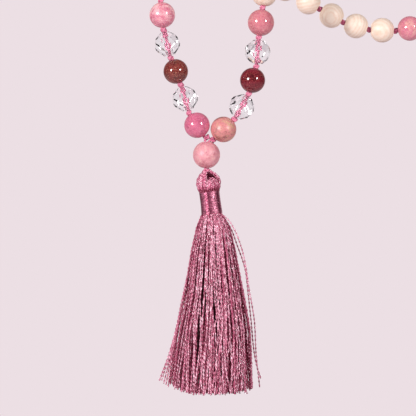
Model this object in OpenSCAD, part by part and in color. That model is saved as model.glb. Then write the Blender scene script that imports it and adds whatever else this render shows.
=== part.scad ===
// A 108-bead mala with a guru bead and a silk tassel, draped over a 20 mm round bar.
// The origin is on the bar's axis. X runs along the bar, -Y is the front, Z is up.
// Bead 1 is the first one up the left strand from the guru bead, and the beads are
// counted along the cord, over the bar, through the rear swag and back down to bead 108.

/* [Beads] */
// Diameter of the rhodonite beads
rhodonite_d = 8.05; // [7.8:0.05:8.1]
// Diameter of the faceted rock crystal beads
crystal_d = 7.8; // [7.6:0.05:8]
// Diameter of the strawberry quartz beads
strawberry_d = 7.65; // [7.5:0.05:8]
// Diameter of the wood beads
wood_d = 8.0; // [7.7:0.05:8.1]
// Length of a wood bead between the flats round its hole
wood_len = 7.4; // [7.2:0.05:7.5]
// Diameter of the guru bead
guru_d = 8.5; // [8.3:0.05:8.6]
// Diameter of the guru bead's hole, which takes both ends of the cord
guru_hole_d = 2.0; // [1.8:0.05:2.2]

/* [Cord] */
// Diameter of the stringing cord
cord_d = 1.0; // [0.8:0.05:1.1]
// Diameter of the knot between two beads
knot_d = 1.6; // [1.3:0.05:1.65]
// Clearance all round the cord in a bead's hole
hole_clearance = 0.08; // [0.04:0.01:0.1]

/* [Tassel] */
// Diameter of the round head of folded threads
head_d = 7.5; // [6.5:0.1:8]
// Diameter of the neck, over its binding
neck_d = 6.6; // [6:0.1:7]
// Length of the binding
neck_len = 6.9; // [5:0.1:8]
// Thickness of the binding's winding
binding_t = 0.7; // [0.4:0.05:1]
// Angle that the head and neck lean to the right
neck_lean = 7; // [0:1:8]
// Length of the threads below the neck
skirt_len = 56; // [40:1:70]
// Diameter of the skirt at the thread ends
skirt_d = 29; // [20:1:32]

/* [Hidden] */
$fn = 96;
guru = [0, -14, -192];
skirt_centre_x = 1.9;

// The line that the beads are strung on, from the guru bead's top, up the left
// strand, over the bar, round the rear swag, along the bar and down the right strand.
route = [
    [-0.5, -14, -186.6], [-3.9, -14, -182.8], [-6.6, -14.3, -174.2], [-9.7, -14, -165.3],
    [-12.9, -13.8, -157.2], [-13.6, -14, -148], [-16, -14, -135], [-19.5, -14, -108],
    [-24, -14, -74], [-29, -14, -36], [-32, -14, -10], [-33, -14, 0],
    [-33.2, -13, 5.2], [-33.4, -9.9, 9.9], [-33.7, -5.3, 13], [-34, 0, 14],
    [-34.3, 5.3, 13], [-34.6, 9.9, 9.9], [-34.8, 13, 5.2], [-35, 14, 0],
    [-34.5, 14, -10], [-32, 14, -33], [-23.5, 14, -68.5], [-10.5, 14, -98.5],
    [4, 14, -121], [18, 14, -133], [26, 14, -137.5], [33, 14.2, -141.5],
    [40, 14, -145.8], [48, 13.8, -149.7], [57, 14, -151], [66, 14, -150.5],
    [78, 14, -147], [95, 14, -136.5], [111, 14, -119], [126, 14, -96],
    [139.5, 14, -65], [148, 14, -33], [151.5, 14, -10], [152, 14, 0],
    [151.2, 12.9, 5.5], [149, 9.9, 9.9], [145.6, 6.2, 12.5], [141, 2.9, 13.7],
    [130, 0.3, 14], [113, -0.3, 14], [95, 0.2, 14], [76, -0.2, 14],
    [59, 0, 14], [48, -2.9, 13.7], [43.4, -6.2, 12.5], [39.9, -9.9, 9.9],
    [37.8, -12.9, 5.5], [37, -14, 0], [36, -14, -10], [33, -14, -36],
    [28.5, -14, -74], [23.5, -14, -108], [19.5, -14, -130], [18.2, -14, -140.5],
    [17.2, -14, -150], [15.8, -14, -159.4], [15, -14, -168.6], [11.2, -14, -176.7],
    [5.9, -14, -184.3], [1.9, -14, -187.2]
];
steps = 12;

// Beads that aren't wood, by their number along the cord.
bead_count = 108;
rhodonite_beads = [1, 5, 27, 50, 54, 58, 82, 104, 108];
crystal_beads = [2, 4, 51, 53, 55, 57, 105, 107];
strawberry_beads = [3, 52, 56, 106];

// Knots where one hanging section bends against the next, by their number:
// knot k is just after bead k, and knot 0 is at the guru bead.
front_left_top = 21;
back_left_top = 27;
swag_left = 39;
swag_right = 58;
back_right_top = 70;
front_right_top = 87;
gems_left = 5;
gems_right = 103;

function among(i, list) = len([for (b = list) if (b == i) b]) > 0;
function stone(i) =
    among(i, rhodonite_beads) ? "rhodonite" :
    among(i, crystal_beads) ? "crystal" :
    among(i, strawberry_beads) ? "strawberry_quartz" : "wood";
function bead_len(i) =
    stone(i) == "rhodonite" ? rhodonite_d :
    stone(i) == "crystal" ? crystal_d :
    stone(i) == "strawberry_quartz" ? strawberry_d : wood_len;

// A smooth curve through the route's points, and the distance along it.
function chord(i) = norm(route[i + 1] - route[i]);
function heading(i) = (route[i + 1] - route[i]) / chord(i);
function slope(i) =
    i == 0 ? heading(0) :
    i == len(route) - 1 ? heading(i - 1) :
    (heading(i - 1) * chord(i) + heading(i) * chord(i - 1)) / (chord(i - 1) + chord(i));
function on_span(i, t) =
    route[i] * (2 * pow(t, 3) - 3 * pow(t, 2) + 1)
    + slope(i) * chord(i) * (pow(t, 3) - 2 * pow(t, 2) + t)
    + route[i + 1] * (3 * pow(t, 2) - 2 * pow(t, 3))
    + slope(i + 1) * chord(i) * (pow(t, 3) - pow(t, 2));
curve = concat(
    [for (i = [0:len(route) - 2]) for (k = [0:steps - 1]) on_span(i, k / steps)],
    [route[len(route) - 1]]
);
distance = [for (i = 0, s = 0; i < len(curve);
    s = s + (i + 1 < len(curve) ? norm(curve[i + 1] - curve[i]) : 0), i = i + 1) s];
along_x = [for (i = [0:len(curve) - 1]) [distance[i], curve[i][0]]];
along_y = [for (i = [0:len(curve) - 1]) [distance[i], curve[i][1]]];
along_z = [for (i = [0:len(curve) - 1]) [distance[i], curve[i][2]]];
function at(s) = [lookup(s, along_x), lookup(s, along_y), lookup(s, along_z)];

// The room for a knot is what the beads leave of the cord.
lengths = [for (i = [1:bead_count]) bead_len(i)];
function total(list, n) = n == 0 ? 0 : list[n - 1] + total(list, n - 1);
cord_len = distance[len(distance) - 1];
knot_room = (cord_len - total(lengths, bead_count)) / bead_count;
knots = [for (k = [0:bead_count]) at(total(lengths, k) + k * knot_room)];

// Where the tassel hangs, under the guru bead.
tassel_top = guru + [0, 0, -guru_d / 2 - 0.35];
hanging_knot_r = 0.7;
hinge_clearance = 0.08;
neck_top = 6.9;
core_r = neck_d / 2 - binding_t;
skirt_top_z = tassel_top[2] - (neck_top + neck_len) * cos(neck_lean) - 0.45;

singles = [for (b = [1:bead_count])
    if (b <= 6 || b == 27 || (b >= 45 && b <= 58) || b == 82 || b >= 103) b];
groups = [[7, 21], [22, 26], [28, 39], [40, 44], [59, 70], [71, 81], [83, 87], [88, 102]];
function bead_name(i) = str(stone(i), "_bead_", i);
function group_name(g) = str("wood_beads_", g[0], "_to_", g[1]);

// Puts its children at a point with their Z axis along a direction.
module aim(point, direction) {
    translate(point)
        rotate([0, acos(direction[2] / norm(direction)), atan2(direction[1], direction[0])])
            children();
}

module bead_shape(i) {
    difference() {
        if (stone(i) == "wood")
            intersection() {
                sphere(d = wood_d);
                cube([2 * wood_d, 2 * wood_d, wood_len], center = true);
            }
        else
            sphere(d = bead_len(i));
        cylinder(h = 2 * wood_d, d = cord_d + 2 * hole_clearance, center = true);
    }
}

module bead(i) {
    tints = [["rhodonite", [0.82, 0.46, 0.52]], ["crystal", [0.92, 0.93, 0.95]],
        ["strawberry_quartz", [0.42, 0.10, 0.14]], ["wood", [0.85, 0.75, 0.62]]];
    tint = [for (t = tints) if (t[0] == stone(i)) t[1]][0];
    color(tint)
        aim((knots[i - 1] + knots[i]) / 2, knots[i] - knots[i - 1])
            bead_shape(i);
}

module wood_group(g) {
    for (i = [g[0]:g[1]])
        bead(i);
}

module cord_piece(a, b) {
    aim(a, b - a)
        cylinder(h = norm(b - a), d = cord_d);
}

// Cord from one knot to a later one. Where a section bends, the knot belongs to the
// section that is held, and the hanging section's cord stops just short of it.
module cord(first, last, held_first, held_last) {
    gap = knot_d / 2 + hinge_clearance;
    inside_knot = 0.2 * knot_d;
    color([0.82, 0.42, 0.54])
        union() {
            for (k = [first:last - 1]) {
                way = (knots[k + 1] - knots[k]) / norm(knots[k + 1] - knots[k]);
                start = k == first && !held_first ? gap : inside_knot;
                end = k == last - 1 && !held_last ? gap : inside_knot;
                cord_piece(knots[k] + way * start, knots[k + 1] - way * end);
            }
            for (k = [held_first ? first : first + 1:held_last ? last : last - 1])
                aim(knots[k], knots[min(k + 1, bead_count)] - knots[max(k - 1, 0)])
                    sphere(d = knot_d);
        }
}

module cord_gems_left() {
    cord(0, gems_left, true, false);
}

module cord_front_left() {
    cord(gems_left, front_left_top, true, false);
}

module cord_over_bar_left() {
    cord(front_left_top, back_left_top, true, true);
}

module cord_back_left() {
    cord(back_left_top, swag_left, false, true);
}

module cord_rear_swag() {
    cord(swag_left, swag_right, false, false);
}

module cord_back_right() {
    cord(swag_right, back_right_top, true, false);
}

module cord_over_bar_right() {
    cord(back_right_top, front_right_top, true, true);
}

module cord_front_right() {
    cord(front_right_top, gems_right, false, true);
}

module cord_gems_right() {
    cord(gems_right, bead_count, false, true);
}

module guru_bead() {
    color([0.86, 0.50, 0.56])
        translate(guru)
            difference() {
                sphere(d = guru_d);
                cylinder(h = 2 * guru_d, d = guru_hole_d, center = true);
            }
}

// Both ends of the cord, side by side in the guru bead's hole.
module guru_cords() {
    end_d = 0.42 * guru_hole_d;
    color([0.82, 0.42, 0.54])
        for (side = [-1, 1])
            translate(guru + [side * (end_d / 2 + 0.04), 0, -guru_d / 2 + 0.85])
                cylinder(h = guru_d - 1.1, d = end_d);
}

// The knot in the cord that the tassel's threads are folded over.
module tassel_hanging_knot() {
    color([0.80, 0.40, 0.52])
        translate(tassel_top)
            sphere(r = hanging_knot_r);
}

module lean() {
    translate(tassel_top)
        rotate([0, -neck_lean, 0])
            children();
}

// The folded threads: the head, the core inside the binding, and the cut skirt.
module tassel_threads() {
    head_z = -4.3;
    skirt_r = [for (k = [0:8])
        neck_d / 2 + 0.1 + (skirt_d - neck_d - 0.2) / 2 * pow(k / 8, 0.7)];
    skirt_side = [for (k = [0:8]) [skirt_r[k], -k / 8 * skirt_len]];
    color([0.66, 0.28, 0.42])
        union() {
            lean()
                difference() {
                    union() {
                        translate([0, 0, -3])
                            cylinder(h = 2.55, r1 = 3.2, r2 = 1.3);
                        intersection() {
                            translate([0, 0, head_z])
                                sphere(d = head_d);
                            translate([0, 0, -neck_top])
                                cylinder(h = neck_top - 1.2, d = 2 * head_d);
                        }
                        translate([0, 0, -neck_top - neck_len - 1.5])
                            cylinder(h = neck_len + 4, r = core_r);
                    }
                    sphere(r = hanging_knot_r + 0.1);
                }
            translate([skirt_centre_x, guru[1], skirt_top_z])
                rotate_extrude()
                    polygon(concat([[0, 0]], skirt_side, [[0, -skirt_len]]));
        }
}

// The thread wound round the neck, a sleeve of close turns.
module tassel_binding() {
    color([0.60, 0.22, 0.37])
        lean()
            translate([0, 0, -neck_top - neck_len])
                difference() {
                    cylinder(h = neck_len - 0.05, d = neck_d);
                    translate([0, 0, -1])
                        cylinder(h = neck_len + 2, r = core_r + 0.02);
                }
}

guru_bead();
guru_cords();
tassel_hanging_knot();
tassel_threads();
tassel_binding();
cord_gems_left();
cord_gems_right();
cord_front_left();
cord_front_right();
cord_over_bar_left();
cord_over_bar_right();
cord_back_left();
cord_back_right();
cord_rear_swag();
for (b = singles)
    bead(b);
for (g = groups)
    wood_group(g);
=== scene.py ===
import math

import bmesh
import bpy
import numpy as np
from mathutils import Matrix, Vector


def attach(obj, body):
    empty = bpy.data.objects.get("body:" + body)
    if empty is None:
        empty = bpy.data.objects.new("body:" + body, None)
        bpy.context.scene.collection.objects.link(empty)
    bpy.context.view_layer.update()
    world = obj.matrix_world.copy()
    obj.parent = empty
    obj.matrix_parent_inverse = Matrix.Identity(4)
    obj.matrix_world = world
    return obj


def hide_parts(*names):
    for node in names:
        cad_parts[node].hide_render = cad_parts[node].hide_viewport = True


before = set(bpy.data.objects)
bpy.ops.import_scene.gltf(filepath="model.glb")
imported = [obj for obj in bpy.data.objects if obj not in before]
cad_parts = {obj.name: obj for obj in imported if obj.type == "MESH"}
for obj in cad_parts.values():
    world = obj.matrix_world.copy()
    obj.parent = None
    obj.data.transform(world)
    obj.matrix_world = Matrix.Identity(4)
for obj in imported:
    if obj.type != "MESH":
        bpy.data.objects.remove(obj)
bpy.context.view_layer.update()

MM = 0.001
TURN = 2 * math.pi

# Sizes and places in millimetres, in the part's own frame.
GURU = np.array([0.0, -14.0, -192.0])
GURU_R = 4.25
GURU_HOLE_R = 1.0
TASSEL_TOP = GURU + np.array([0.0, 0.0, -GURU_R - 0.35])
NECK_LEAN = math.radians(7)
WOOD_R = 4.0
HOLE_R = 0.58
CORD_R = 0.54


# -------------------------------------------- colour and node helpers

BLACK = (0, 0, 0, 1)
GREY = (0.5, 0.5, 0.5, 1)
SOFT = (0.7, 0.7, 0.7, 1)
STRONG = (0.85, 0.85, 0.85, 1)
WHITE = (1, 1, 1, 1)


def linear(r, g, b):
    """A colour on a 0 to 255 scale as Blender's linear values."""
    def channel(c):
        c = c / 255
        return c / 12.92 if c <= 0.04045 else ((c + 0.055) / 1.055) ** 2.4
    return (channel(r), channel(g), channel(b), 1.0)


class Nodes:
    """A node tree with short calls for its nodes."""

    def __init__(self, tree):
        self.nodes = tree.nodes
        self.links = tree.links

    def put(self, value, socket):
        if isinstance(value, bpy.types.NodeSocket):
            self.links.new(value, socket)
        elif value is not None:
            socket.default_value = value

    def split(self, vector):
        node = self.nodes.new("ShaderNodeSeparateXYZ")
        self.put(vector, node.inputs[0])
        return node.outputs

    def rays(self):
        return self.nodes.new("ShaderNodeLightPath").outputs

    def noise(self, place, scale, detail=4.0, rough=0.5, twist=0.0):
        node = self.nodes.new("ShaderNodeTexNoise")
        self.put(place, node.inputs["Vector"])
        node.inputs["Scale"].default_value = scale
        node.inputs["Detail"].default_value = detail
        node.inputs["Roughness"].default_value = rough
        node.inputs["Distortion"].default_value = twist
        return node.outputs["Fac"]

    def cells(self, place, scale):
        node = self.nodes.new("ShaderNodeTexVoronoi")
        self.put(place, node.inputs["Vector"])
        node.inputs["Scale"].default_value = scale
        return node.outputs["Distance"]

    def rings(self, place, scale, twist):
        node = self.nodes.new("ShaderNodeTexWave")
        node.wave_type = "RINGS"
        node.rings_direction = "Z"
        self.put(place, node.inputs["Vector"])
        node.inputs["Scale"].default_value = scale
        node.inputs["Distortion"].default_value = twist
        node.inputs["Detail"].default_value = 3.0
        return node.outputs["Fac"]

    def ramp(self, value, *stops):
        node = self.nodes.new("ShaderNodeValToRGB")
        self.put(value, node.inputs["Fac"])
        colours = node.color_ramp.elements
        while len(colours) < len(stops):
            colours.new(0.5)
        for element, (position, colour) in zip(colours, stops):
            element.position = position
            element.color = colour
        return node.outputs["Color"]

    def mix(self, amount, a, b):
        node = self.nodes.new("ShaderNodeMix")
        node.data_type = "RGBA"
        self.put(amount, node.inputs["Factor"])
        self.put(a, node.inputs[6])
        self.put(b, node.inputs[7])
        return node.outputs[2]

    def maths(self, operation, a, b=None):
        node = self.nodes.new("ShaderNodeMath")
        node.operation = operation
        self.put(a, node.inputs[0])
        self.put(b, node.inputs[1])
        return node.outputs[0]


class Shader(Nodes):
    """A material with short calls for its nodes."""

    def __init__(self, name):
        self.material = bpy.data.materials.new(name)
        self.material.use_nodes = True
        super().__init__(self.material.node_tree)
        self.surface = self.nodes["Principled BSDF"]

    def stored(self, name, output="Vector"):
        node = self.nodes.new("ShaderNodeAttribute")
        node.attribute_name = name
        return node.outputs[output]

    def bump(self, height, strength, distance):
        node = self.nodes.new("ShaderNodeBump")
        self.put(height, node.inputs["Height"])
        node.inputs["Strength"].default_value = strength
        node.inputs["Distance"].default_value = distance
        self.links.new(node.outputs["Normal"], self.surface.inputs["Normal"])

    def set(self, **values):
        for key, value in values.items():
            self.put(value, self.surface.inputs[key.replace("_", " ")])
        return self.material


# -------------------------------------------- camera, light and floor

# The camera looks level at the front strands. Its place is in metres.
CAMERA_PLACE = (0.00047, GURU[1] * MM - 0.7, -0.2086)
LENS = 193.8
FILM_WIDTH = 36

BACKDROP = linear(236, 223, 228)
DIM_ROOM = (0.10, 0.095, 0.098, 1)
LIGHT_FROM_BELOW = (0.15, 0.14, 0.145, 1)
LIGHT_FROM_ABOVE = (0.40, 0.38, 0.39, 1)
SEEN_THROUGH_CRYSTAL = (0.84, 0.77, 0.80, 1)

# Each softbox: its name, place and width in metres, power in watts, and whether it shows as a highlight.
SOFTBOXES = [
    ("key_left", (-0.75, -0.85, 0.03), 0.34, 12.3, True),
    ("fill_right", (0.75, -0.85, 0.10), 0.24, 7.9, True),
    ("back_left", (-0.46, 1.15, -0.05), 0.3, 6.5, False),
    ("back_right", (0.46, 1.15, 0.10), 0.3, 6.5, False),
]
LIGHT_COLOUR = (1.0, 0.985, 0.98)
LIT_POINT = Vector((0.02, 0, -0.18))

FLOOR_R = 2.6
FLOOR_Z = -0.75
FLOOR_GLOW = 0.36
EXTRA_GLOW_WHEN_SEEN = 0.32
FLOOR_DULLED = 0.65


def make_camera():
    data = bpy.data.cameras.new("camera")
    data.sensor_width = FILM_WIDTH
    data.lens = LENS
    data.clip_start = 0.01
    data.clip_end = 50
    camera = bpy.data.objects.new("camera", data)
    camera.location = CAMERA_PLACE
    camera.rotation_euler = (math.radians(90), 0, 0)
    bpy.context.scene.collection.objects.link(camera)
    bpy.context.scene.camera = camera


def soft_light(name, place, size, power, shows):
    """A round softbox that faces the object. One that doesn't show gives light but no highlights."""
    data = bpy.data.lights.new(name, "AREA")
    data.shape = "DISK"
    data.size = size
    data.energy = power
    data.color = LIGHT_COLOUR
    light = bpy.data.objects.new(name, data)
    light.location = place
    light.visible_glossy = shows
    aim = LIT_POINT - Vector(place)
    light.rotation_euler = aim.to_track_quat("-Z", "Y").to_euler()
    bpy.context.scene.collection.objects.link(light)


def make_world():
    """A pale backdrop that fills the view, and a dimmer room in front of the object."""
    world = bpy.data.worlds.new("studio")
    bpy.context.scene.world = world
    world.use_nodes = True
    sky = Nodes(world.node_tree)
    way = sky.split(sky.nodes.new("ShaderNodeTexCoord").outputs["Generated"])
    room = sky.ramp(way["Y"], (0.66, DIM_ROOM), (0.96, BACKDROP))
    soft = sky.ramp(way["Z"], (0.0, LIGHT_FROM_BELOW), (1.0, LIGHT_FROM_ABOVE))
    seen = sky.rays()
    colour = sky.mix(seen["Is Diffuse Ray"], room, soft)
    colour = sky.mix(seen["Is Transmission Ray"], colour, SEEN_THROUGH_CRYSTAL)
    colour = sky.mix(seen["Is Camera Ray"], colour, BACKDROP)
    sky.put(colour, sky.nodes["Background"].inputs["Color"])


def make_floor():
    """A plain pale floor with a faint glow, which keeps it as even as the backdrop."""
    bpy.ops.mesh.primitive_circle_add(vertices=96, radius=FLOOR_R, fill_type="NGON", location=(0, 0, FLOOR_Z))
    floor = bpy.context.object
    floor.name = "floor"
    shader = Shader("floor_paint")
    paint = shader.ramp(shader.noise(None, 2.0), (0.3, linear(236, 224, 229)), (0.7, linear(238, 226, 231)))
    seen = shader.rays()
    looked_at = shader.maths("MAXIMUM", seen["Is Camera Ray"], seen["Is Transmission Ray"])
    glow = shader.maths("ADD", shader.maths("MULTIPLY", looked_at, EXTRA_GLOW_WHEN_SEEN), FLOOR_GLOW)
    dull = shader.mix(FLOOR_DULLED, paint, BLACK)
    floor.data.materials.append(shader.set(Base_Color=dull, Roughness=0.9, Specular_IOR_Level=0.0,
                                           Emission_Color=paint, Emission_Strength=glow))


def make_studio():
    bpy.context.scene.view_settings.view_transform = "Standard"
    make_world()
    for softbox in SOFTBOXES:
        soft_light(*softbox)
    make_floor()


# -------------------------------------------- the stringing line

# The line that the beads are strung on, in millimetres, as in the part's source.
ROUTE = np.array([
    (-0.5, -14, -186.6), (-3.9, -14, -182.8), (-6.6, -14.3, -174.2), (-9.7, -14, -165.3),
    (-12.9, -13.8, -157.2), (-13.6, -14, -148), (-16, -14, -135), (-19.5, -14, -108),
    (-24, -14, -74), (-29, -14, -36), (-32, -14, -10), (-33, -14, 0),
    (-33.2, -13, 5.2), (-33.4, -9.9, 9.9), (-33.7, -5.3, 13), (-34, 0, 14),
    (-34.3, 5.3, 13), (-34.6, 9.9, 9.9), (-34.8, 13, 5.2), (-35, 14, 0),
    (-34.5, 14, -10), (-32, 14, -33), (-23.5, 14, -68.5), (-10.5, 14, -98.5),
    (4, 14, -121), (18, 14, -133), (26, 14, -137.5), (33, 14.2, -141.5),
    (40, 14, -145.8), (48, 13.8, -149.7), (57, 14, -151), (66, 14, -150.5),
    (78, 14, -147), (95, 14, -136.5), (111, 14, -119), (126, 14, -96),
    (139.5, 14, -65), (148, 14, -33), (151.5, 14, -10), (152, 14, 0),
    (151.2, 12.9, 5.5), (149, 9.9, 9.9), (145.6, 6.2, 12.5), (141, 2.9, 13.7),
    (130, 0.3, 14), (113, -0.3, 14), (95, 0.2, 14), (76, -0.2, 14),
    (59, 0, 14), (48, -2.9, 13.7), (43.4, -6.2, 12.5), (39.9, -9.9, 9.9),
    (37.8, -12.9, 5.5), (37, -14, 0), (36, -14, -10), (33, -14, -36),
    (28.5, -14, -74), (23.5, -14, -108), (19.5, -14, -130), (18.2, -14, -140.5),
    (17.2, -14, -150), (15.8, -14, -159.4), (15, -14, -168.6), (11.2, -14, -176.7),
    (5.9, -14, -184.3), (1.9, -14, -187.2),
], float)
STEPS = 12
BEADS = 108
RHODONITE = (1, 5, 27, 50, 54, 58, 82, 104, 108)
CRYSTAL = (2, 4, 51, 53, 55, 57, 105, 107)
STRAWBERRY = (3, 52, 56, 106)
LENGTH = {"rhodonite": 8.05, "crystal": 7.8, "strawberry_quartz": 7.65, "wood": 7.4}


def stone(i):
    if i in RHODONITE:
        return "rhodonite"
    if i in CRYSTAL:
        return "crystal"
    return "strawberry_quartz" if i in STRAWBERRY else "wood"


def smooth_line(points, steps=STEPS):
    """A smooth curve through points, steps samples to each span."""
    span = np.linalg.norm(np.diff(points, axis=0), axis=1)[:, None]
    way = np.diff(points, axis=0) / span
    middle = (way[:-1] * span[1:] + way[1:] * span[:-1]) / (span[:-1] + span[1:])
    slope = np.vstack([way[:1], middle, way[-1:]])
    t = (np.arange(steps) / steps)[:, None]
    out = []
    for i in range(len(points) - 1):
        out.append(
            points[i] * (2 * t**3 - 3 * t**2 + 1)
            + slope[i] * span[i] * (t**3 - 2 * t**2 + t)
            + points[i + 1] * (3 * t**2 - 2 * t**3)
            + slope[i + 1] * span[i] * (t**3 - t**2)
        )
    return np.vstack(out + [points[-1:]])


def find_knots():
    """The middle of each knot: knot k comes just after bead k, and knot 0 is at the guru bead."""
    curve = smooth_line(ROUTE)
    distance = np.concatenate([[0], np.cumsum(np.linalg.norm(np.diff(curve, axis=0), axis=1))])
    lengths = np.array([LENGTH[stone(i)] for i in range(1, BEADS + 1)])
    room = (distance[-1] - lengths.sum()) / BEADS
    places = np.concatenate([[0], np.cumsum(lengths + room)])
    return np.stack([np.interp(places, distance, curve[:, axis]) for axis in range(3)], axis=1)


KNOTS = find_knots()


def turned_to(direction, spin=0.0):
    """A 3 by 3 matrix that takes +Z to a direction, after a turn about Z."""
    turn = Vector(direction).to_track_quat("Z", "Y").to_matrix() @ Matrix.Rotation(spin, 3, "Z")
    return np.array(turn)


# -------------------------------------------- mesh helpers

def as_list(faces):
    return faces.tolist() if isinstance(faces, np.ndarray) else faces


def make_object(name, verts_mm, faces, material, smooth=True, floats=None, vectors=None):
    """A mesh object from points in millimetres, with values stored on its points."""
    mesh = bpy.data.meshes.new(name)
    mesh.from_pydata((np.asarray(verts_mm) * MM).tolist(), [], as_list(faces))
    for key, values in (floats or {}).items():
        layer = mesh.attributes.new(key, "FLOAT", "POINT")
        layer.data.foreach_set("value", np.asarray(values, np.float32))
    for key, values in (vectors or {}).items():
        layer = mesh.attributes.new(key, "FLOAT_VECTOR", "POINT")
        layer.data.foreach_set("vector", np.asarray(values, np.float32).ravel())
    mesh.polygons.foreach_set("use_smooth", [smooth] * len(mesh.polygons))
    mesh.materials.append(material)
    mesh.update()
    thing = bpy.data.objects.new(name, mesh)
    bpy.context.scene.collection.objects.link(thing)
    return thing


def stand_for(piece, node, body):
    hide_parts(node)
    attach(piece, body)


def grid_faces(rows, columns, close_rows=False, start=0):
    """Quads over a grid of points that closes round its columns, and over its rows if asked."""
    last_row = rows if close_rows else rows - 1
    row, column = np.meshgrid(np.arange(last_row), np.arange(columns), indexing="ij")
    below = (row + 1) % rows
    beside = (column + 1) % columns
    quads = [row * columns + column, row * columns + beside,
             below * columns + beside, below * columns + column]
    return np.stack(quads, axis=-1).reshape(-1, 4) + start


def angles(columns):
    """Even angles once round."""
    return np.arange(columns) * TURN / columns


def rings_about(middle_x, middle_y, radius_x, radius_y, height, angle):
    """Points of rings, one for each height, in the order that grid_faces needs."""
    return np.stack([middle_x + radius_x * np.cos(angle), middle_y + radius_y * np.sin(angle),
                     height + 0 * angle], axis=-1).reshape(-1, 3)


def lathe(profile, columns):
    """Points of a closed outline of (radius, height) turned about Z, and its faces."""
    radius, height = profile[:, :1], profile[:, 1:]
    verts = rings_about(0, 0, radius, radius, height, angles(columns))
    return verts, grid_faces(len(profile), columns, close_rows=True)


def eased(outline, times=2):
    """A closed outline with its corners cut, so that its edges are rounded."""
    for _ in range(times):
        after = np.roll(outline, -1, axis=0)
        cuts = [0.75 * outline + 0.25 * after, 0.25 * outline + 0.75 * after]
        outline = np.stack(cuts, axis=1).reshape(-1, 2)
    return outline


def path_frames(path):
    """Two sideways directions at every point of paths of shape (count, points, 3)."""
    way = np.gradient(path, axis=1)
    way /= np.linalg.norm(way, axis=2, keepdims=True)
    upright = np.abs(way[..., 1:2]) < 0.9
    up = np.where(upright, np.array([0.0, 1.0, 0.0]), np.array([1.0, 0.0, 0.0]))
    side = np.cross(way, up)
    side /= np.linalg.norm(side, axis=2, keepdims=True)
    return side, np.cross(way, side)


def tubes(path, radius, flat, pitch, sides, phase, closed=False):
    """Twisted tubes along paths of shape (count, points, 3). The cross-section is an ellipse that turns once
    for every pitch, and flat is its height as a share of its width. Gives the points, the faces and how far
    along each point is."""
    count, points = path.shape[:2]
    side, up = path_frames(path)
    step = np.linalg.norm(np.diff(path, axis=1), axis=2)
    along = np.concatenate([np.zeros((count, 1)), np.cumsum(step, axis=1)], axis=1)
    twist = (along / pitch * TURN + phase[:, None])[..., None]
    angle = angles(sides)
    wide, thin = radius * np.cos(angle), radius * flat * np.sin(angle)
    across = wide * np.cos(twist) - thin * np.sin(twist)
    upward = wide * np.sin(twist) + thin * np.cos(twist)
    verts = path[:, :, None] + across[..., None] * side[:, :, None] + upward[..., None] * up[:, :, None]
    starts = np.arange(count) * points * sides
    quads = np.vstack([grid_faces(points, sides, closed, start) for start in starts]).tolist()
    if not closed:
        for first in starts.tolist():
            last = first + (points - 1) * sides
            quads.append(list(range(first, first + sides)))
            quads.append(list(range(last + sides - 1, last - 1, -1)))
    return verts.reshape(-1, 3), quads, np.repeat(along.ravel(), sides)


def joined(parts):
    """Several (points, faces) as one."""
    verts, faces, start = [], [], 0
    for points, quads in parts:
        verts.append(points)
        faces += [[start + corner for corner in face] for face in as_list(quads)]
        start += len(points)
    return np.vstack(verts), faces


# -------------------------------------------- materials

def rhodonite_material(name, base, pale, dark, pale_from, gloss, pitted):
    """Polished pink stone: cloudy pink with pale patches, clustered dark spots and small pits."""
    shader = Shader(name)
    place = shader.stored("place")
    cloud = shader.noise(place, 0.22, 5, 0.62, 0.8)
    body = shader.ramp(cloud, (0.34, dark), (0.45, base), (pale_from, base), (pale_from + 0.09, pale))
    patch = shader.noise(place, 0.75, 6, 0.65, 0.6)
    body = shader.mix(shader.ramp(patch, (0.54, BLACK), (0.66, SOFT)), body, pale)
    body = shader.mix(shader.ramp(patch, (0.32, SOFT), (0.43, BLACK)), body, dark)
    grain = shader.noise(place, 2.1, 8, 0.75)
    body = shader.mix(0.36, body, shader.ramp(grain, (0.34, dark), (0.5, base), (0.66, pale)))
    here = shader.ramp(shader.noise(place, 0.3), (0.46, BLACK), (0.58, (pitted, pitted, pitted, 1)))
    pits = shader.ramp(shader.cells(place, 1.5), (0.10, WHITE), (0.24, BLACK))
    body = shader.mix(shader.maths("MULTIPLY", here, pits), body, dark)
    veins = shader.noise(place, 0.5, 6, 0.7, 1.6)
    line = shader.ramp(veins, (0.48, BLACK), (0.5, GREY), (0.52, BLACK))
    body = shader.mix(line, body, pale)
    shader.bump(grain, 0.06, 0.00005)
    return shader.set(Base_Color=body, Roughness=gloss, IOR=1.6, Subsurface_Weight=0.04,
                      Subsurface_Scale=0.001)


def strawberry_material(name, base, dark, fleck):
    """Polished dark red stone with fine golden and brown flecks."""
    shader = Shader(name)
    place = shader.stored("place")
    cloud = shader.noise(place, 0.45, 5, 0.6, 0.4)
    body = shader.ramp(cloud, (0.28, dark), (0.58, base))
    flake = shader.cells(place, 2.6)
    body = shader.mix(shader.ramp(flake, (0.12, STRONG), (0.30, BLACK)), body, fleck)
    dust = shader.cells(place, 5.5)
    body = shader.mix(shader.ramp(dust, (0.12, GREY), (0.3, BLACK)), body, fleck)
    return shader.set(Base_Color=body, Roughness=0.07, IOR=1.55)


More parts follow.
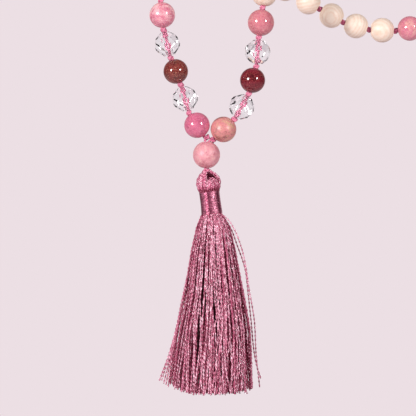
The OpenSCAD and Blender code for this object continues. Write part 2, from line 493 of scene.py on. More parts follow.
def wood_material():
    """Pale sanded wood with fine growth lines, lighter and darker from bead to bead."""
    pale, plain, warm = linear(238, 221, 206), linear(235, 214, 198), linear(229, 202, 182)
    fibre_light, fibre_dark = linear(248, 234, 222), linear(216, 178, 150)
    pore, brown = linear(206, 166, 140), linear(206, 168, 142)
    shader = Shader("pale_wood")
    place = shader.stored("place")
    rings = shader.rings(place, 0.30, 4.0)
    body = shader.ramp(rings, (0.0, warm), (0.5, plain), (1.0, pale))
    fibre = shader.noise(place, 1.4, 6, 0.7)
    body = shader.mix(0.25, body, shader.ramp(fibre, (0.3, fibre_dark), (0.62, fibre_light)))
    pores = shader.cells(place, 2.2)
    body = shader.mix(shader.ramp(pores, (0.05, GREY), (0.14, BLACK)), body, pore)
    body = shader.mix(shader.stored("tone", "Fac"), body, brown)
    shader.bump(fibre, 0.25, 0.00006)
    return shader.set(Base_Color=body, Roughness=0.42)


def crystal_material():
    """Clear rock crystal, with the faintest cloud inside."""
    shader = Shader("rock_crystal")
    haze = shader.noise(shader.stored("place"), 0.6, 4, 0.6)
    body = shader.ramp(haze, (0.3, linear(250, 250, 252)), (0.8, WHITE))
    return shader.set(Base_Color=body, Roughness=0.0, IOR=1.544, Transmission_Weight=1.0)


def cord_material(name, light, deep):
    """Twisted silk cord, with painted light on its ridges and painted shade in its grooves."""
    shader = Shader(name)
    fibre = shader.noise(shader.stored("place"), 5.0, 5, 0.7)
    # Painted light and shade: the fibre pattern that bumps the cord also makes it pale where it stands out
    # and deep where it sinks.
    body = shader.ramp(fibre, (0.3, deep), (0.62, light))
    # The tone darkens the cord; in the rear swag and on top of the guru bead this darkening is painted shade.
    shade = shader.maths("MULTIPLY", shader.stored("tone", "Fac"), 0.5)
    body = shader.mix(shade, body, deep)
    shader.bump(fibre, 0.4, 0.00008)
    return shader.set(Base_Color=body, Roughness=0.42, Sheen_Weight=0.35, Sheen_Roughness=0.4)


def thread_material(name, light, middle, deep, gloss=0.34, shine=0.22):
    """Shiny rayon thread with long painted glints and painted shade along it. Its plies show as a fine
    slanting twist.
    """
    shader = Shader(name)
    tone = shader.stored("tone", "Fac")
    fibre = shader.noise(shader.stored("place"), 1.3, 4, 0.7)
    # The tone sets a thread's colour from deep to light. It varies at random, and it also carries painted
    # shade and painted highlights.
    body = shader.ramp(tone, (0.0, deep), (0.45, middle), (1.0, light))
    # Painted glints and painted shade: pale and deep streaks along the threads, mixed in more where the tone
    # is higher.
    glint = shader.ramp(fibre, (0.41, deep), (0.50, middle), (0.57, light))
    body = shader.mix(shader.maths("MULTIPLY", tone, 0.85), body, glint)
    ply = shader.split(shader.stored("ply"))
    turn = shader.maths("ARCTAN2", ply["Y"], ply["X"])
    wave = shader.maths("SINE", shader.maths("ADD", turn, ply["Z"]))
    shader.bump(wave, 0.8, 0.00008)
    # Painted light: a faint glow of the deep colour stands in for light that comes through the threads into
    # the gaps between them.
    return shader.set(Base_Color=body, Roughness=gloss, Metallic=shine, Specular_IOR_Level=0.7,
                      Coat_Weight=shader.maths("MULTIPLY", tone, 0.75), Coat_Roughness=0.16,
                      Emission_Color=deep, Emission_Strength=0.1)


# -------------------------------------------- stone, wood and crystal beads

STONE_COLUMNS = 64
GURU_COLUMNS = 72
WOOD_COLUMNS = 48

# Beads whose darkest spots would otherwise be on top, and how such a bead's stone is turned over.
TURNED_OVER = (5, 108)
HALF_TURN = [-1, 1, -1]

# Stone beads that are a little larger than the rest of their kind.
SIZE = {3: 1.015, 104: 1.035, 106: 1.035}

# Each rhodonite bead's own colours: pink, pale patches, dark spots. Then how rare the patches are, how matt
# the bead is and how pitted.
PLAIN_STONE = ((206, 116, 132), (228, 186, 172), (130, 62, 80), 0.58, 0.15, 0.6)
STONE_LOOKS = {
    1: ((202, 100, 132), (226, 150, 166), (150, 58, 88), 0.66, 0.13, 0.5),
    5: ((208, 114, 138), (248, 200, 202), (156, 66, 92), 0.50, 0.26, 0.6),
    50: ((212, 122, 144), (222, 170, 160), (130, 72, 80), 0.56, 0.08, 0.5),
    104: ((200, 114, 128), (224, 164, 160), (150, 74, 86), 0.60, 0.09, 0.7),
    108: ((212, 128, 134), (208, 166, 134), (110, 58, 56), 0.53, 0.38, 1.0),
}
GURU_LOOKS = ((216, 142, 154), (238, 190, 184), (170, 84, 100), 0.54, 0.45, 1.0)
# The way the guru bead's grain runs, and where in the stone it is cut from.
GURU_GRAIN = (0.3, 0.5, 0.2)
GURU_CUT_FROM = 171.0
# Every other bead is cut from a place of its own, this far along each axis at the most.
CUT_FROM = 400

# Strawberry quartz: its red, its dark red and its flecks, for the browner beads and for the others.
BROWNER = (3, 52)
BROWN_LOOKS = ((120, 46, 44), (66, 16, 22), (218, 158, 130))
RED_LOOKS = ((112, 22, 38), (66, 16, 22), (206, 110, 98))

SINGLE_WOOD = [6, 45, 46, 47, 48, 49, 103]
# The other wood beads: the first and last of each group, and its body.
WOOD_GROUPS = [
    (7, 21, "front_loop"), (22, 26, "strand_on_bar"), (28, 39, "back_loop"), (40, 44, "rear_swag"),
    (59, 70, "back_loop"), (71, 81, "strand_on_bar"), (83, 87, "strand_on_bar"), (88, 102, "front_loop"),
]
# How brown some wood beads are, and the way their growth rings face.
WOOD_TONE = {45: 0.45, 46: 0.05, 47: 0.02, 48: 0.0, 49: 0.08, 103: 0.15}
GRAIN_ASIDE = {47: (0.7, 0.4, 0.6), 48: (0.9, 0.1, -0.3), 49: (0.2, 1.0, 0.1)}

# A crystal bead's rows of facets: latitude in degrees and facets in the row, on both sides of its middle.
FACET_ROWS = [(15, 8), (45, 8)]
# How far out the facets and the end flats lie, as shares of the radius, and how wide the facets' edges are.
FACET_OUT = 0.955
END_OUT = 0.93
FACET_EDGE = 0.035


def stone_outline(radius, hole=HOLE_R, lip=0.14, steps=44):
    """Outline of a round bead with a hole and rounded mouths, as (radius, height)."""
    first = math.asin((hole + lip) / radius)
    angle = np.linspace(first, math.pi - first, steps)
    outside = np.stack([radius * np.sin(angle), radius * np.cos(angle)], axis=1)
    top = outside[0, 1] - lip
    wall = np.array([(hole, top * share) for share in (-1, -0.5, 0, 0.5, 1)])
    return eased(np.vstack([outside, wall]))


def wood_outline(flat_r=1.25, lip=0.2, steps=22):
    """Outline of a turned wood bead: round, with a flat round each mouth of its hole."""
    half = LENGTH["wood"] / 2
    first = math.acos(half / WOOD_R) + 0.05
    angle = np.linspace(first, math.pi - first, steps)
    outside = np.stack([WOOD_R * np.sin(angle), WOOD_R * np.cos(angle)], axis=1)
    flat = np.array([(flat_r, -half), (HOLE_R + lip + 0.02, -half)])
    wall = np.array([(HOLE_R, -half + lip), (HOLE_R, 0), (HOLE_R, half - lip)])
    return eased(np.vstack([outside, flat, wall, flat[::-1] * [1, -1]]))


def bead_points(i, local, random):
    """A bead's points where it is strung, and where each is in its own piece of stone or wood."""
    centre = (KNOTS[i - 1] + KNOTS[i]) / 2
    turn = turned_to(KNOTS[i] - KNOTS[i - 1], random.uniform(0, TURN))
    grain = turned_to(random.normal(size=3))
    shown = local @ turn.T
    cut = (shown * HALF_TURN if i in TURNED_OVER else shown) @ turn
    return shown + centre, cut @ grain.T + random.uniform(-CUT_FROM, CUT_FROM, 3)


def round_bead(i, material, kind, random):
    radius = LENGTH[kind] / 2 * SIZE.get(i, 1.0)
    local, faces = lathe(stone_outline(radius), STONE_COLUMNS)
    points, place = bead_points(i, local, random)
    node = f"{kind}_bead_{i}"
    piece = make_object(f"{kind}_{i}", points, faces, material, vectors={"place": place})
    stand_for(piece, node, node)


def stone_material(name, looks):
    base, pale, dark, pale_from, gloss, pitted = looks
    return rhodonite_material(name, linear(*base), linear(*pale), linear(*dark), pale_from, gloss, pitted)


def guru_bead():
    local, faces = lathe(stone_outline(GURU_R, hole=GURU_HOLE_R, lip=0.2), GURU_COLUMNS)
    place = local @ turned_to(GURU_GRAIN).T + GURU_CUT_FROM
    piece = make_object("guru_stone", local + GURU, faces, stone_material("rhodonite_guru", GURU_LOOKS),
                        vectors={"place": place})
    stand_for(piece, "guru_bead", "guru")


def wood_beads(name, numbers, node, body, material, random):
    """One wood bead, or a group of them as one piece."""
    local, faces = lathe(wood_outline(), WOOD_COLUMNS)
    parts, places, tones = [], [], []
    for i in numbers:
        points, place = bead_points(i, local, random)
        if i in GRAIN_ASIDE:
            place = local @ turned_to(GRAIN_ASIDE[i]).T + random.uniform(-40, 40, 3)
        parts.append((points, faces))
        places.append(place)
        tones.append(np.full(len(points), WOOD_TONE.get(i, random.uniform(0.0, 0.35))))
    points, faces = joined(parts)
    piece = make_object(name, points, faces, material,
                        floats={"tone": np.concatenate(tones)}, vectors={"place": np.vstack(places)})
    stand_for(piece, node, body)


def facet_directions():
    """The way each facet of a crystal bead faces: one flat at each end and rows of facets."""
    ways = [(0, 0, 1), (0, 0, -1)]
    for row, (latitude, count) in enumerate(FACET_ROWS):
        tilt = math.radians(latitude)
        for half in (1, -1):
            offset = 0.5 * ((row + (half < 0)) % 2)
            for n in range(count):
                angle = TURN * (n + offset) / count
                ways.append((math.cos(tilt) * math.cos(angle), math.cos(tilt) * math.sin(angle),
                             half * math.sin(tilt)))
    return ways


def facetted_block(radius):
    """A block with everything outside the facets cut away, as an object."""
    cut = bmesh.new()
    bmesh.ops.create_cube(cut, size=4 * radius)
    for way in facet_directions():
        out = END_OUT if abs(way[2]) > 0.99 else FACET_OUT
        geometry = cut.verts[:] + cut.edges[:] + cut.faces[:]
        done = bmesh.ops.bisect_plane(cut, geom=geometry, plane_co=Vector(way) * (out * radius),
                                      plane_no=Vector(way), clear_outer=True)
        rim = [g for g in done["geom_cut"] if isinstance(g, bmesh.types.BMEdge)]
        if rim:
            bmesh.ops.contextual_create(cut, geom=rim)
    bmesh.ops.bevel(cut, geom=cut.edges[:], offset=FACET_EDGE, segments=1, affect="EDGES")
    block = bpy.data.meshes.new("crystal_block")
    cut.to_mesh(block)
    cut.free()
    ball = bpy.data.objects.new("crystal_block", block)
    bpy.context.scene.collection.objects.link(ball)
    return ball


def crystal_mesh():
    """Points and faces of a faceted ball with a round hole bored through, in millimetres."""
    radius = LENGTH["crystal"] / 2
    ball = facetted_block(radius)
    # The hole fits the cord closely, so that no gap shows through the crystal.
    bpy.ops.mesh.primitive_cylinder_add(vertices=32, radius=CORD_R - 0.05, depth=4 * radius)
    drill = bpy.context.object
    bore = ball.modifiers.new("bore", "BOOLEAN")
    bore.operation = "DIFFERENCE"
    bore.solver = "EXACT"
    bore.object = drill
    result = bpy.data.meshes.new_from_object(ball.evaluated_get(bpy.context.evaluated_depsgraph_get()))
    local = np.array([v.co for v in result.vertices])
    faces = [list(p.vertices) for p in result.polygons]
    for thing in (ball, drill):
        bpy.data.objects.remove(thing)
    bpy.data.meshes.remove(result)
    return local, faces


def crystal_beads(material, random):
    local, faces = crystal_mesh()
    for i in CRYSTAL:
        points, place = bead_points(i, local, random)
        node = f"crystal_bead_{i}"
        piece = make_object(f"crystal_{i}", points, faces, material, smooth=False, vectors={"place": place})
        stand_for(piece, node, node)


def make_beads():
    random = np.random.default_rng(27)
    for i in RHODONITE:
        material = stone_material(f"rhodonite_{i}", STONE_LOOKS.get(i, PLAIN_STONE))
        round_bead(i, material, "rhodonite", random)
    guru_bead()
    for i in STRAWBERRY:
        looks = BROWN_LOOKS if i in BROWNER else RED_LOOKS
        material = strawberry_material(f"strawberry_quartz_{i}", *[linear(*colour) for colour in looks])
        round_bead(i, material, "strawberry_quartz", random)
    wood = wood_material()
    for i in SINGLE_WOOD:
        wood_beads(f"wood_{i}", [i], f"wood_bead_{i}", f"wood_bead_{i}", wood, random)
    for first, last, body in WOOD_GROUPS:
        name = f"wood_{first}_to_{last}"
        wood_beads(name, range(first, last + 1), f"wood_beads_{first}_to_{last}", body, wood, random)
    crystal_beads(crystal_material(), random)


# -------------------------------------------- cord and knots

# Each stretch of cord: its node, its body, its first and last knot, and whether it has the knot at each end.
CORDS = [
    ("cord_gems_left", "gem_loop", 0, 5, True, False),
    ("cord_front_left", "front_loop", 5, 21, True, False),
    ("cord_over_bar_left", "strand_on_bar", 21, 27, True, True),
    ("cord_back_left", "back_loop", 27, 39, False, True),
    ("cord_rear_swag", "rear_swag", 39, 58, False, False),
    ("cord_back_right", "back_loop", 58, 70, True, False),
    ("cord_over_bar_right", "strand_on_bar", 70, 87, True, True),
    ("cord_front_right", "front_loop", 87, 103, False, True),
    ("cord_gems_right", "gem_loop", 103, 108, False, True),
]
# The two knots on the guru bead are squeezed together between it and the beads beside it.
GURU_KNOT_SHIFT = {0: np.array([0.7, 0.0, 0.1]), 108: np.array([0.15, 0.0, -0.15])}
SHORT_OF_KNOT = 0.4
STRAND_PITCH = 1.9

# How much painted shade darkens the cord in the rear swag, and on top of the guru bead, where it lies in
# shade.
SWAG_SHADE = 1.5
GURU_SHADE = 1.1
SHADE_REACH = 3.0


def knot_points(centre, way, spin, size=1.0, steps=60):
    """An overhand knot pulled tight, with its two ends along way."""
    t = angles(steps)
    wide, tall = 0.235 * size, 0.42 * size
    loop = np.stack([(np.sin(t) + 2 * np.sin(2 * t)) * wide, (np.cos(t) - 2 * np.cos(2 * t)) * wide,
                     -np.sin(3 * t) * tall], axis=1)
    path = loop @ turned_to(way, spin).T + centre
    points, faces, _ = tubes(path[None], 0.40 * size, 0.92, 1.5, 8, np.zeros(1), closed=True)
    return points, faces


def cord_points(a, b, phase):
    """A straight run of cord of two twisted strands."""
    rings = max(3, int(np.linalg.norm(b - a) / 0.19))
    path = a + (b - a) * np.linspace(0, 1, rings)[:, None]
    points, faces, _ = tubes(path[None], CORD_R, 0.94, STRAND_PITCH, 10, np.array([phase]))
    return points, faces


def make_cord(node, body, first, last, held_first, held_last, material, random):
    """One stretch of cord with its knots. An end whose knot belongs to the next stretch stops short of it."""
    parts = []
    for k in range(first, last):
        a, b = KNOTS[k], KNOTS[k + 1]
        way = (b - a) / np.linalg.norm(b - a)
        start = a + way * (0 if k > first or held_first else SHORT_OF_KNOT)
        end = b - way * (0 if k < last - 1 or held_last else SHORT_OF_KNOT)
        parts.append(cord_points(start, end, random.uniform(0, 6)))
    for k in range(first if held_first else first + 1, last + 1 if held_last else last):
        way = KNOTS[min(k + 1, BEADS)] - KNOTS[max(k - 1, 0)]
        place = KNOTS[k] + GURU_KNOT_SHIFT.get(k, np.zeros(3))
        parts.append(knot_points(place, way, random.uniform(0, 6), random.uniform(0.94, 1.06)))
    # Painted shade: the cord in the rear swag, and near the guru bead, is made darker.
    shade = SWAG_SHADE if body == "rear_swag" else 0.0
    tone = np.concatenate([np.full(len(points), shade + random.uniform(0, 0.5)) for points, _ in parts])
    points, faces = joined(parts)
    near_guru = np.linalg.norm(points - GURU, axis=1) < GURU_R + SHADE_REACH
    piece = make_object(node + "_strands", points, faces, material,
                        floats={"tone": tone + GURU_SHADE * near_guru}, vectors={"place": points})
    stand_for(piece, node, body)


def make_guru_cords(material):
    """Both ends of the cord, from the two knots on top down through the guru bead."""
    parts = []
    for knot, side in ((KNOTS[0], -1), (KNOTS[BEADS], 1)):
        bottom = GURU + [side * 0.45, 0, -GURU_R + 0.7]
        mouth = GURU + [side * 0.45, 0, GURU_R - 0.3]
        between = knot * 0.45 + mouth * 0.55 + [0, 0, 0.15]
        path = smooth_line(np.array([knot, between, mouth, bottom]), 14)
        points, faces, _ = tubes(path[None], 0.42, 0.72, STRAND_PITCH, 8, np.zeros(1))
        parts.append((points, faces))
    points, faces = joined(parts)
    piece = make_object("guru_cord_ends", points, faces, material,
                        floats={"tone": np.full(len(points), 0.6)}, vectors={"place": points})
    stand_for(piece, "guru_cords", "guru")


def make_hanging_knot(material):
    points, faces = knot_points(TASSEL_TOP + [0, 0, -0.15], np.array([0.1, 0.2, 1.0]), 0.4, 0.95)
    piece = make_object("tassel_knot", points, faces, material,
                        floats={"tone": np.full(len(points), 0.3)}, vectors={"place": points})
    stand_for(piece, "tassel_hanging_knot", "tassel_link")


def make_cords():
    random = np.random.default_rng(5)
    material = cord_material("silk_cord", linear(234, 146, 174), linear(184, 82, 118))
    for row in CORDS:
        make_cord(*row, material, random)
    make_guru_cords(material)
    make_hanging_knot(material)


# -------------------------------------------- tassel

# Outlines of the head, as (radius, height) from the tassel's top: its threads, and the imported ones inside.
HEAD = np.array([(0.8, -0.17), (1.42, -0.85), (2.55, -1.9), (3.3, -3.2), (3.5, -4.4), (3.4, -5.4),
                 (3.1, -6.4), (2.7, -7.6)])
HEAD_INSIDE = np.array([(0.0, -2.6), (0.9, -2.9), (1.8, -3.5), (2.5, -4.2), (2.7, -5.0), (2.6, -5.8),
                        (2.3, -7.0), (2.4, -13.6), (0.0, -13.8)])

# The dark opening in the head: which way it faces, how far it reaches to each side, how soft its edge is and
# how far below the top its threads start.
OPENING = math.radians(-55)
OPENING_REACH = 0.95
OPENING_EDGE = 0.15
OPENING_DROP = 4.2

BINDING_TOP = -6.85
BINDING_BOTTOM = -14.05
BINDING_PITCH = 0.175

SKIRT_CUT = -265.7
# The skirt's outline from the neck down, in millimetres: height, half width and the x of its middle.
SKIRT = np.array([
    (-209.5, 2.7, 1.55), (-211.0, 3.1, 1.7), (-212.4, 4.0, 2.0), (-214.2, 4.9, 2.15), (-217.0, 5.6, 2.2),
    (-221.7, 6.7, 2.25), (-234.2, 8.9, 2.5), (-246.7, 11.3, 2.3), (-259.2, 12.6, 1.7), (-267.5, 13.2, 1.3),
])
# The skirt is a little thinner from front to back than it is wide.
SKIRT_DEPTH = 0.92
SKIRT_ROWS = 250
# Where round the skirt its two deep partings are.
CREVICES = (-1.50, -2.05)

# The outer layers of the skirt: threads, their least and greatest share of the radius, locks, how closely the
# locks hold together, and the range of tones. The lower tones of the layer beneath are painted shade.
LAYERS = (
    (92, 0.93, 1.04, 19, 0.62, (0.1, 1.15)),
    (84, 0.78, 0.90, 15, 0.5, (0.0, 0.5)),
)

# Routes of stray threads: two on the right and two behind.
STRAYS = [
    [(4.2, -14.6, -210), (7.0, -15, -212.5), (8.8, -15, -215.5), (11.0, -15.4, -221.3),
     (13.4, -15.5, -234.5), (15.0, -15.2, -244.4), (15.4, -15, -253), (16.6, -14.6, -264.6)],
    [(4.4, -13.8, -210), (7.4, -14, -214.6), (9.6, -14.2, -220.3), (12.0, -14.4, -227.4),
     (13.0, -14.4, -235.2), (13.8, -14, -242.6), (15.9, -13.8, -258.6), (17.0, -13.4, -262)],
    [(1.0, -11, -212), (0.5, -5, -224), (-2.0, -1.2, -240), (-3.0, 0.6, -255), (-4.6, 1.8, -264)],
    [(2.5, -11, -212), (4.5, -4.6, -224), (6.2, -1.0, -240), (8.2, 0.8, -254), (8.8, 2.0, -265)],
]
STRAYS_ON_LEFT = 5

# Painted glints and painted shade run along a thread in long streaks, shorter on the head.
LONG_GLINTS = [1, 1, 0.4]
HEAD_GLINTS = [1.6, 1.6, 1.1]
PLY_LENGTH = 0.42
# Waves start anywhere in about a full turn.
ANY_PHASE = 6.28


def leaned(points):
    """Points given about the tassel's top, leaning with its neck."""
    c, s = math.cos(NECK_LEAN), math.sin(NECK_LEAN)
    turn = np.array([[c, 0, -s], [0, 1, 0], [s, 0, c]])
    return points @ turn.T + TASSEL_TOP


def apart(angle, other):
    """How far one angle is from another, the short way round."""
    return (angle - other + math.pi) % TURN - math.pi


def smooth_outline(outline, steps):
    """A smooth curve through an outline of (radius, height)."""
    return smooth_line(np.column_stack([outline, np.zeros(len(outline))]), steps)[:, :2]


def thread_piece(name, path, radius, material, random, tone, flat=0.45, pitch=2.6, fleck=LONG_GLINTS, sides=6):
    """Threads along paths of shape (count, points, 3) as one piece, with a tone for each thread or for each
    point of each thread."""
    count, points = path.shape[:2]
    verts, faces, along = tubes(path, radius, flat, pitch, sides, random.uniform(0, ANY_PHASE, count))
    tone = tone if tone.ndim == 2 else tone[:, None]
    shade = np.repeat(np.broadcast_to(tone, (count, points)).ravel(), sides)
    angle = np.tile(angles(sides), count * points)
    ply = np.stack([np.cos(angle), np.sin(angle), along / PLY_LENGTH * TURN], axis=1)
    # fleck stretches the pattern of the painted glints and painted shade along the threads.
    return make_object(name, verts, faces, material,
                       floats={"tone": shade}, vectors={"ply": ply, "place": verts * fleck})


def packed_piece(name, verts, shown, rows, angle, ply_along, material, tone):
    """Threads packed too close to tell apart. Their points are at shown, and their pattern's at verts."""
    turned = np.tile(angle, rows)
    ply = np.stack([np.cos(turned), np.sin(turned), ply_along], axis=1)
    return make_object(name, shown, grid_faces(rows, len(angle)), material,
                       floats={"tone": tone}, vectors={"ply": ply, "place": verts})


def head_threads(count, inset, random, material, name):
    """Threads folded over the knot, from the top out round the head and in under the binding. At the opening
    they start lower, which leaves it dark below an arch of threads."""
    profile = smooth_outline(HEAD, 9)
    t = np.linspace(0, 1, len(profile))
    turn = np.arange(count) / count * TURN + random.uniform(-0.02, 0.02, count)
    paths = []
    for angle in turn:
        away = apart(angle, OPENING)
        radius = profile[:, 0] - inset + random.normal(0, 0.05)
        height = profile[:, 1] + 0.08 * random.normal()
        swept = angle + 0.10 * (1 - t) ** 2 + 0.12 * random.normal() * np.sin(math.pi * t)
        if abs(away) < OPENING_REACH:
            sunk = min(1.0, (OPENING_REACH - abs(away)) / OPENING_EDGE) * np.clip(1.05 - t / 0.62, 0, 1)
            radius = radius * (1 - 0.95 * sunk)
            height = height * (1 - sunk) - OPENING_DROP * sunk
        elif 0 < away < 1.6:
            # The arch stands out a little beside the opening.
            radius = radius + 0.25 * np.sin(math.pi * np.clip(t / 0.7, 0, 1))
        radius = np.maximum(radius, 0.1)
        paths.append(np.stack([radius * np.cos(swept), radius * np.sin(swept), height], axis=1))
    dense = np.stack([smooth_line(path, 4) for path in paths])
    # Painted shade: the threads darken towards the bottom of the head, under its bulge.
    painted_shade_low = np.clip((np.linspace(0, 1, dense.shape[1]) - 0.62) / 0.22, 0, 1)
    tone = random.uniform(0.25, 1.15, count)[:, None] * (1 - 0.92 * painted_shade_low)[None]
    return thread_piece(name, leaned(dense), 0.30, material, random, tone, 0.7, 3.2, HEAD_GLINTS)


def head_core(material):
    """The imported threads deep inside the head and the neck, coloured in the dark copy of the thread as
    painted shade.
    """
    angle = angles(72)
    dense = smooth_outline(HEAD_INSIDE, 8)
    ridged = dense[:, :1] * (1 + 0.05 * np.sin(angle * 24))
    verts = rings_about(0, 0, ridged, ridged, dense[:, 1:], angle)
    return packed_piece("tassel_core", verts, leaned(verts), len(dense), angle, verts[:, 2], material,
                        np.zeros(len(verts)))


def binding(material):
    """Thread wound close round the neck in about forty turns."""
    rows = int((BINDING_TOP - BINDING_BOTTOM) / BINDING_PITCH * 6)
    height = np.linspace(BINDING_TOP, BINDING_BOTTOM, rows)[:, None]
    angle = angles(120)
    down = (BINDING_TOP - height) / (BINDING_TOP - BINDING_BOTTOM)
    waist = 3.16 + 0.16 * down**2 - 0.05 * np.sin(math.pi * down)
    edge = 0.35 * np.clip(1 - np.minimum(down, 1 - down) / 0.025, 0, 1) ** 2
    ridge = 0.055 * np.abs(np.sin(height / BINDING_PITCH * math.pi + angle / 2))
    dent = 0.02 * np.sin(3 * angle + 1.0) + 0.01 * np.sin(5 * angle + height)
    radius = waist - edge + ridge + dent
    verts = rings_about(0, 0, radius, radius, height, angle)
    # Painted highlights: the tone rises in upright streaks all round the neck, and most at the front right.
    painted_highlight_streaks = 0.5 * np.abs(np.sin(angle * 3 - 1.1)) ** 1.5 + 0.2 * np.exp(-(((angle - 5.05) / 0.35) ** 2))
    bands = 0.08 + 0.06 * np.sin(np.arange(rows) * 0.7)
    return packed_piece("neck_binding", verts, leaned(verts), rows, angle,
                        np.repeat(height.ravel() * 8, len(angle)), material,
                        (bands[:, None] + painted_highlight_streaks[None]).ravel())


SKIRT_TOP = leaned(np.array([[0.0, 0.0, -13.0]]))[0]


def skirt_width(height):
    """The skirt's half width and the x of its middle at a height."""
    return [np.interp(-height, -SKIRT[:, 0], SKIRT[:, column]) for column in (1, 2)]


def cut_ends(turn, ring, random):
    """How low each thread ends: the cut is a little higher at both sides and lower at the back."""
    across = ring * np.cos(turn)
    end = SKIRT_CUT + random.normal(0, 0.28, len(turn))
    end = end + 2.4 * np.clip((-across - 0.45) / 0.55, 0, 1) ** 1.3
    end = end + 1.0 * np.clip((across - 0.6) / 0.4, 0, 1)
    return end - 0.9 * np.clip(np.sin(turn) * ring, 0, 1)


def skirt_paths(turn, ring, rows, random, drift=0.0, wave=0.22, locks=None, pull=0.6):
    """Threads from the neck to the cut ends. turn is each thread's angle, ring its share of the radius, drift
    how far round it wanders, and locks the angle that it is drawn to where the locks are closest."""
    count = len(turn)
    t = np.linspace(0, 1, rows)[None]
    height = SKIRT_TOP[2] + (cut_ends(turn, ring, random)[:, None] - SKIRT_TOP[2]) * t
    half, middle = skirt_width(height)
    angle = turn[:, None] + drift * t**1.2
    if locks is not None:
        gather = np.exp(-(((t - 0.27) / 0.26) ** 2))
        angle = angle + (locks[:, None] - turn[:, None]) * pull * gather
    parting = np.sin(math.pi * np.clip(0.12 + t * 0.88, 0, 1)) ** 0.8
    for crevice in CREVICES:
        gap = apart(turn[:, None], crevice)
        angle = angle + 0.08 * np.sign(gap) * np.exp(-((gap / 0.25) ** 2)) * parting
    phase = random.uniform(0, ANY_PHASE, (count, 4))
    length = random.uniform(1.2, 2.6, (count, 2))
    crimp = 0.07 * np.sin(height * random.uniform(1.4, 2.2, (count, 1)) + phase[:, 2:3])
    out = wave * t * np.sin(length[:, :1] * ANY_PHASE * t + phase[:, :1])
    aside = wave * 1.2 * t * np.sin(length[:, 1:] * ANY_PHASE * t + phase[:, 1:2])
    radial = ring[:, None] * half + out + crimp
    sideways = aside + crimp
    x = middle + radial * np.cos(angle) - sideways * np.sin(angle)
    y = SKIRT_TOP[1] + SKIRT_DEPTH * radial * np.sin(angle) + sideways * np.cos(angle)
    return np.stack([x, y, height], axis=-1)


def skirt_core(material, rows=60):
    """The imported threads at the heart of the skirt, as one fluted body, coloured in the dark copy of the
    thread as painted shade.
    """
    height = np.linspace(-209.6, -264.6, rows)[:, None]
    half, middle = skirt_width(height)
    angle = angles(180)
    radius = 0.66 * half * (1 + 0.05 * np.sin(angle * 36) + 0.05 * np.sin(angle * 11 + 1.3))
    # Both ends close to a point.
    radius[[0, -1]] = 0.01
    verts = rings_about(middle, SKIRT_TOP[1], radius, SKIRT_DEPTH * radius, height, angle)
    return packed_piece("skirt_core", verts, verts, rows, angle, verts[:, 2], material, np.zeros(len(verts)))


def lock_angles(turn, count, random):
    """The middle of the nearest of count locks, for each thread's angle."""
    centres = np.sort((np.arange(count) + random.uniform(-0.3, 0.3, count)) / count * TURN)
    away = apart(turn[:, None], centres[None])
    nearest = np.argmin(np.abs(away), axis=1)
    return turn - away[np.arange(len(turn)), nearest]


def outer_layers(material, random):
    """The outer threads, each layer in two pieces."""
    made = []
    for count, near, far, locks, pull, tones in LAYERS:
        turn = np.arange(count) / count * TURN + random.uniform(-0.03, 0.03, count)
        ring = random.uniform(near, far, count)
        drift = random.normal(0, 0.09, (count, 1))
        drawn_to = lock_angles(turn, locks, random)
        path = skirt_paths(turn, ring, SKIRT_ROWS, random, drift, locks=drawn_to, pull=pull)
        tone = random.uniform(*tones, count)
        for part in range(2):
            pick = slice(part * count // 2, (part + 1) * count // 2)
            name = f"skirt_threads_{len(made) + 1}"
            made.append(thread_piece(name, path[pick], 0.29, material, random, tone[pick]))
    return made


def inner_threads(material, random, count=80):
    turn = random.uniform(0, TURN, count)
    ring = np.sqrt(random.uniform(0.2, 0.55, count))
    path = skirt_paths(turn, ring, 90, random)
    # Painted shade: the threads inside get the darkest tones.
    tone = random.uniform(0.0, 0.2, count)
    return thread_piece("skirt_threads_inner", path, 0.3, material, random, tone, pitch=6.0)


def thread_ends(material, random, count=440):
    """The cut ends of the threads inside, which fill the skirt where it is seen from below."""
    turn = random.uniform(0, TURN, count)
    ring = np.sqrt(random.uniform(0.0, 0.5, count))
    path = skirt_paths(turn, ring, 60, random)[:, -8:]
    tone = random.uniform(0.0, 0.7, count)
    return thread_piece("skirt_thread_ends", path, 0.3, material, random, tone)


def crossing_threads(material, random, count=24):
    """Loose threads that lie across the front of the others."""
    turn = random.uniform(-2.6, -0.5, count)
    ring = random.uniform(1.0, 1.04, count)
    drift = random.uniform(-0.35, 0.5, (count, 1))
    path = skirt_paths(turn, ring, SKIRT_ROWS, random, drift, wave=0.4)
    tone = random.uniform(0.6, 1.15, count)
    return thread_piece("skirt_threads_crossing", path, 0.25, material, random, tone)


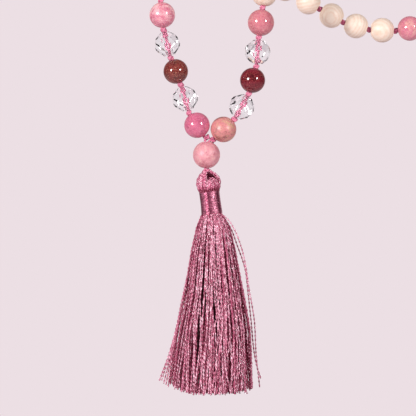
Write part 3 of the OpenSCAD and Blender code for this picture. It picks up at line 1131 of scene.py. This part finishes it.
def left_stray(out, random):
    """The route of a stray thread on the left, from out 0, nearest the skirt, to out 1, farthest from it."""
    end = -264.3 + 2.0 * out + random.uniform(-0.4, 0.4)
    return [(-1.0, -14.4, -212), (-4.1, -15, -222), (-7.2 - 0.2 * out, -15.6 + out, -236),
            (-9.2 - 0.5 * out, -15.6 + out, -247), (-10.6 - 1.2 * out, -15.4 + 1.6 * out, -254.5),
            (-12.0 - 2.8 * out, -15.2 + 2.4 * out, end)]


def stray_threads(material, random, rows=300):
    """Single threads that have come away from the skirt."""
    routes = STRAYS + [left_stray(n / (STRAYS_ON_LEFT - 1), random) for n in range(STRAYS_ON_LEFT)]
    paths = []
    for points in routes:
        line = smooth_line(np.array(points, float), 40)
        far = np.concatenate([[0], np.cumsum(np.linalg.norm(np.diff(line, axis=0), axis=1))])
        even = np.linspace(0, far[-1], rows)
        paths.append(np.stack([np.interp(even, far, line[:, axis]) for axis in range(3)], axis=1))
    tone = random.uniform(0.4, 0.9, len(paths))
    return thread_piece("stray_threads", np.stack(paths), 0.26, material, random, tone)


def make_tassel():
    random = np.random.default_rng(9)
    thread = thread_material("rayon_thread", linear(255, 206, 224), linear(224, 108, 148),
                             linear(112, 6, 44))
    # A dark copy of the thread, as painted shade, for the packed threads deep inside the head and the skirt.
    dark = thread_material("rayon_thread_painted_shade", linear(104, 14, 40), linear(76, 6, 26), linear(56, 3, 18),
                           gloss=0.5, shine=0.1)
    wound = thread_material("neck_thread", linear(250, 182, 204), linear(214, 118, 150),
                            linear(84, 22, 42), gloss=0.42, shine=0.95)
    pieces = [head_threads(60, 0.0, random, thread, "head_threads_outer")]
    pieces.append(head_threads(52, 0.42, random, thread, "head_threads_inner"))
    pieces.append(head_core(dark))
    pieces += outer_layers(thread, random)
    pieces.append(inner_threads(thread, random))
    pieces.append(thread_ends(thread, random))
    pieces.append(crossing_threads(thread, random))
    pieces.append(skirt_core(dark))
    pieces.append(stray_threads(thread, random))
    for piece in pieces:
        stand_for(piece, "tassel_threads", "tassel")
    stand_for(binding(wound), "tassel_binding", "tassel")


# -------------------------------------------- the whole object

make_camera()
make_studio()
make_beads()
make_cords()
make_tassel()
